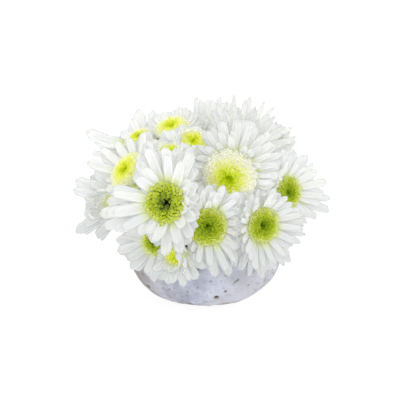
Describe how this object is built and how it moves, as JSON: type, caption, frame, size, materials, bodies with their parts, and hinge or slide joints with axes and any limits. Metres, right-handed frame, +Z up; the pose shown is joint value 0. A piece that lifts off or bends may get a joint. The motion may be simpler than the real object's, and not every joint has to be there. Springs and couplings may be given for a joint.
{
  "type": "pot chrysanthemum",
  "caption": "White pot chrysanthemum: a low dome of daisy-like and cushion-centred blooms on leafy stems, rooted in soil in a small round cement bowl.",
  "frame": {"origin": "centre of the pot's foot, on the surface that it stands on", "axes": "+Z up, -Y the front, +X to the right when seen from the front"},
  "size_m": [0.1742, 0.1707, 0.1369],
  "materials": {
    "cement": "matte",
    "earth": "matte",
    "green": "matte",
    "petal": "matte",
    "floret": "matte"
  },
  "bodies": {
    "root": {"pot": "cement", "soil": "earth", "leafy_stem_1": "green", "leafy_stem_2": "green", "leafy_stem_3": "green", "leafy_stem_4": "green", "leafy_stem_5": "green", "leafy_stem_6": "green", "leafy_stem_7": "green", "bloom_01_petals": "petal", "bloom_01_disc": "floret", "bloom_02_petals": "petal", "bloom_02_disc": "floret", "bloom_03_petals": "petal", "bloom_03_disc": "floret", "bloom_04_petals": "petal", "bloom_04_disc": "floret", "bloom_05_petals": "petal", "bloom_05_disc": "floret", "bloom_06_petals": "petal", "bloom_06_disc": "floret", "bloom_07_petals": "petal", "bloom_07_disc": "floret", "bloom_08_petals": "petal", "bloom_08_disc": "floret", "bloom_09_petals": "petal", "bloom_09_disc": "floret", "bloom_10_petals": "petal", "bloom_10_disc": "floret", "bloom_11_petals": "petal", "bloom_11_disc": "floret", "bloom_12_petals": "petal", "bloom_12_disc": "floret", "bloom_13_petals": "petal", "bloom_13_disc": "floret", "bloom_14_petals": "petal", "bloom_14_disc": "floret", "bloom_15_petals": "petal", "bloom_15_disc": "floret", "bloom_16_petals": "petal", "bloom_16_disc": "floret", "bloom_17_petals": "petal", "bloom_17_disc": "floret", "bloom_18_petals": "petal", "bloom_18_disc": "floret", "bloom_19_petals": "petal", "bloom_19_disc": "floret", "bloom_20_petals": "petal", "bloom_20_disc": "floret", "bloom_21_petals": "petal", "bloom_21_disc": "floret", "bloom_22_petals": "petal", "bloom_22_disc": "floret", "bloom_23_petals": "petal", "bloom_23_disc": "floret"}
  },
  "joints": []
}
